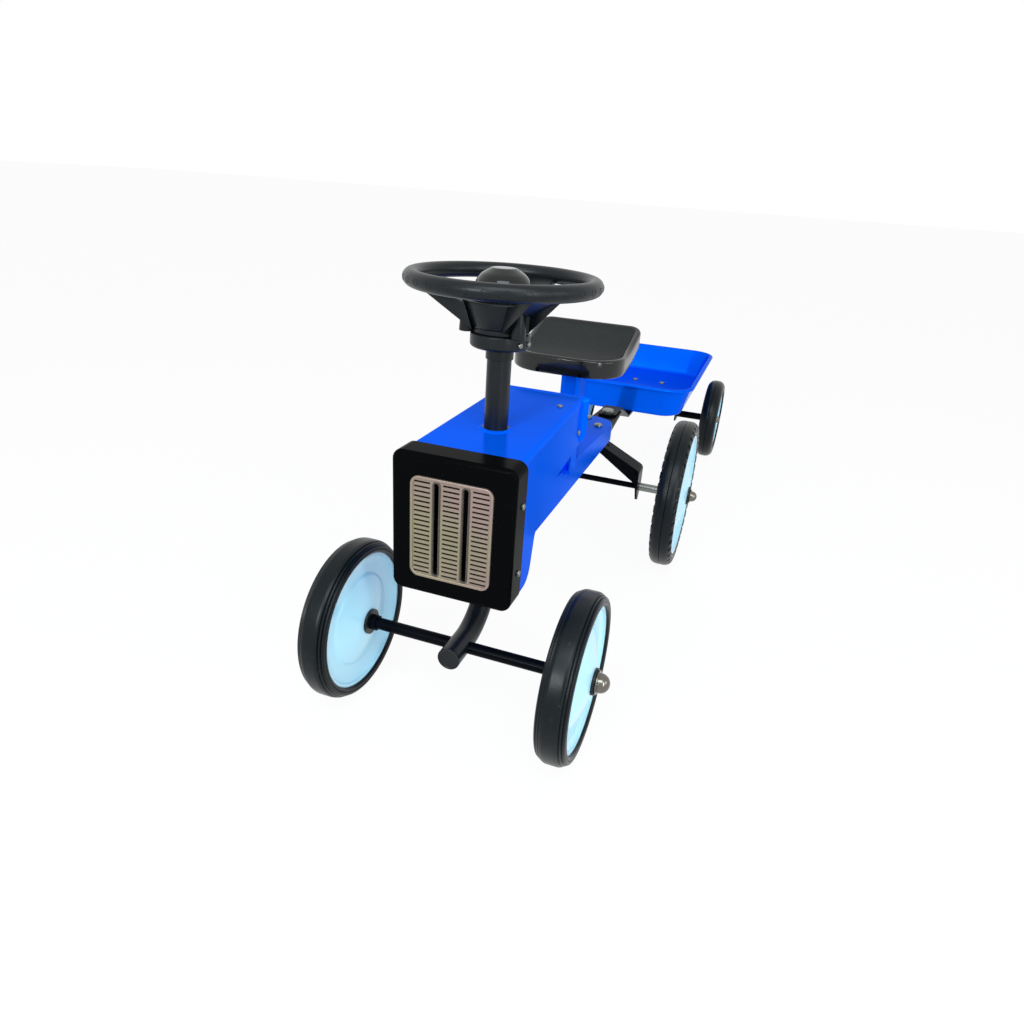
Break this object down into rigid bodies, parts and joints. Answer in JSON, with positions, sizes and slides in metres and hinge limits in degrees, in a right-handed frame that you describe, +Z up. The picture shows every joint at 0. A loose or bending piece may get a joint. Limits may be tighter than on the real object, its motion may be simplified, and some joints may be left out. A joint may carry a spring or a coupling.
{
  "type": "ride-on tractor with trailer",
  "caption": "Foot-to-floor ride-on toy tractor with pressed hood, slotted grille, steered front axle, horn button, raised seat and a towed tray trailer.",
  "frame": {"origin": "middle of the footprint on the ground", "axes": "+Z up, forward is -Y, the tractor's left side is +X"},
  "size_m": [0.3264, 1.1282, 0.4115],
  "materials": {
    "blue_enamel": "gloss enamel",
    "black_enamel": "gloss enamel",
    "black_gloss": "gloss",
    "black_satin": "satin",
    "seat_black": "pebbled top, gloss border",
    "grille_silver": "satin stamped",
    "horn_smoke": "gloss smoked",
    "disc_white": "semi-gloss",
    "tyre_black": "matte",
    "bush_black": "satin",
    "cap_chrome": "polished",
    "zinc_steel": "zinc plated",
    "bellows_rubber": "matte"
  },
  "bodies": {
    "chassis": {"chassis_beam": "blue_enamel", "hood": "blue_enamel", "grille_frame": "black_gloss", "grille_insert": "grille_silver", "front_bulkhead": "black_enamel", "column_bearing": "black_satin", "column_bush": "black_satin", "hood_saddle": "blue_enamel", "seat": "seat_black", "seat_pedestal": "blue_enamel", "rear_axle_bracket": "black_enamel", "rear_axle": "black_enamel", "rear_axle_caps": "cap_chrome", "rear_axle_sleeves": "zinc_steel", "hitch_plate": "black_enamel", "hitch_pin": "zinc_steel", "carrier_spacers": "zinc_steel", "carrier_bolts": "zinc_steel", "grille_screws": "zinc_steel", "hood_rivets": "zinc_steel", "saddle_screws": "zinc_steel", "seat_screws": "zinc_steel"},
    "steering": {"steering_column": "black_enamel", "column_end_cap": "black_satin", "column_stop_ring": "black_enamel", "steering_wheel": "black_satin", "hub_collar": "black_satin", "collar_screws": "zinc_steel", "horn_bellows": "bellows_rubber", "front_axle": "black_enamel", "front_axle_caps": "cap_chrome", "front_axle_sleeves": "black_enamel"},
    "horn": {"horn_button": "horn_smoke"},
    "trailer": {"trailer_tray": "blue_enamel", "trailer_drawbar": "black_enamel", "trailer_axle_bracket": "black_enamel", "trailer_axle": "black_enamel", "trailer_axle_caps": "cap_chrome", "trailer_axle_sleeves": "black_enamel", "tray_bolts": "zinc_steel"},
    "front_wheel_left": {"front_tyre_left": "tyre_black", "front_disc_left": "disc_white", "front_bushes_left": "bush_black"},
    "front_wheel_right": {"front_tyre_right": "tyre_black", "front_disc_right": "disc_white", "front_bushes_right": "bush_black"},
    "rear_wheel_left": {"rear_tyre_left": "tyre_black", "rear_disc_left": "disc_white", "rear_bushes_left": "bush_black"},
    "rear_wheel_right": {"rear_tyre_right": "tyre_black", "rear_disc_right": "disc_white", "rear_bushes_right": "bush_black"},
    "trailer_wheel_left": {"trailer_tyre_left": "tyre_black", "trailer_disc_left": "disc_white", "trailer_bushes_left": "bush_black"},
    "trailer_wheel_right": {"trailer_tyre_right": "tyre_black", "trailer_disc_right": "disc_white", "trailer_bushes_right": "bush_black"}
  },
  "joints": [
    {"name": "steering_turn", "type": "hinge", "parent": "chassis", "child": "steering", "pos_m": [0, -0.42015, 0.3], "axis": [0, 0, 1], "range_deg": [-30, 30]},
    {"name": "horn_press", "type": "slide", "parent": "steering", "child": "horn", "axis": [0, 0, -1], "range_m": [0, 0.004], "stiffness_N_per_m": 600, "springref_m": -0.003, "deforming": ["horn_bellows"]},
    {"name": "trailer_swing", "type": "hinge", "parent": "chassis", "child": "trailer", "pos_m": [0, 0.07345, 0.158], "axis": [0, 0, 1], "range_deg": [-50, 50]},
    {"name": "front_left_spin", "type": "hinge", "parent": "steering", "child": "front_wheel_left", "pos_m": [0.1125, -0.48555, 0.0785], "axis": [1, 0, 0], "continuous": true},
    {"name": "front_right_spin", "type": "hinge", "parent": "steering", "child": "front_wheel_right", "pos_m": [-0.1125, -0.48555, 0.0785], "axis": [1, 0, 0], "continuous": true},
    {"name": "rear_left_spin", "type": "hinge", "parent": "chassis", "child": "rear_wheel_left", "pos_m": [0.133, -0.05855, 0.1], "axis": [1, 0, 0], "continuous": true},
    {"name": "rear_right_spin", "type": "hinge", "parent": "chassis", "child": "rear_wheel_right", "pos_m": [-0.133, -0.05855, 0.1], "axis": [1, 0, 0], "continuous": true},
    {"name": "trailer_left_spin", "type": "hinge", "parent": "trailer", "child": "trailer_wheel_left", "pos_m": [0.132, 0.43945, 0.0745], "axis": [1, 0, 0], "continuous": true},
    {"name": "trailer_right_spin", "type": "hinge", "parent": "trailer", "child": "trailer_wheel_right", "pos_m": [-0.132, 0.43945, 0.0745], "axis": [1, 0, 0], "continuous": true}
  ]
}
